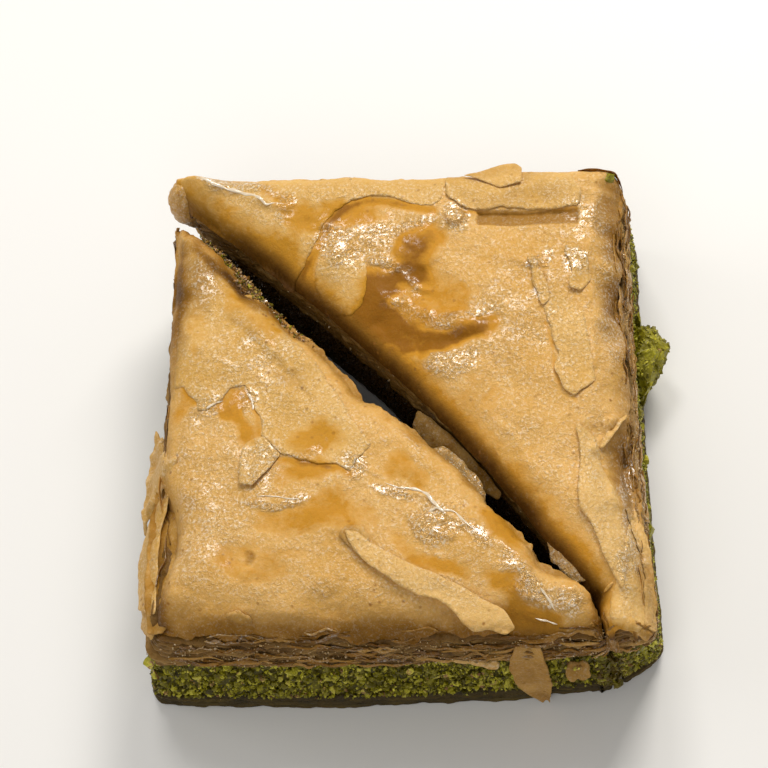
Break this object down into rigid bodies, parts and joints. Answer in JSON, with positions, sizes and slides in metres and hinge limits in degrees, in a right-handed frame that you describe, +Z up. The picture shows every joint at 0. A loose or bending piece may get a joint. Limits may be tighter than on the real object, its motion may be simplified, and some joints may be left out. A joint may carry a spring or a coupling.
{
  "type": "baklava piece",
  "caption": "Square of pistachio baklava cut from corner to corner into three-sided slices, each with a flaky crust, a nut filling and thin bottom sheets.",
  "frame": {"origin": "under the middle of the pair of slices, on their flat underside", "axes": "+Z up from the tray, +X to the right and +Y away when the near side faces the viewer"},
  "size_m": [0.0633, 0.062, 0.0245],
  "materials": {
    "back_crust": "syrup-glazed golden filo",
    "back_filling": "moist ground pistachio",
    "back_base": "syrup-soaked brown filo",
    "front_crust": "syrup-glazed golden filo",
    "front_filling": "moist ground pistachio",
    "front_base": "syrup-soaked brown filo"
  },
  "bodies": {
    "root": {"back_crust": "back_crust", "back_filling": "back_filling", "back_base": "back_base", "front_crust": "front_crust", "front_filling": "front_filling", "front_base": "front_base"}
  },
  "joints": []
}
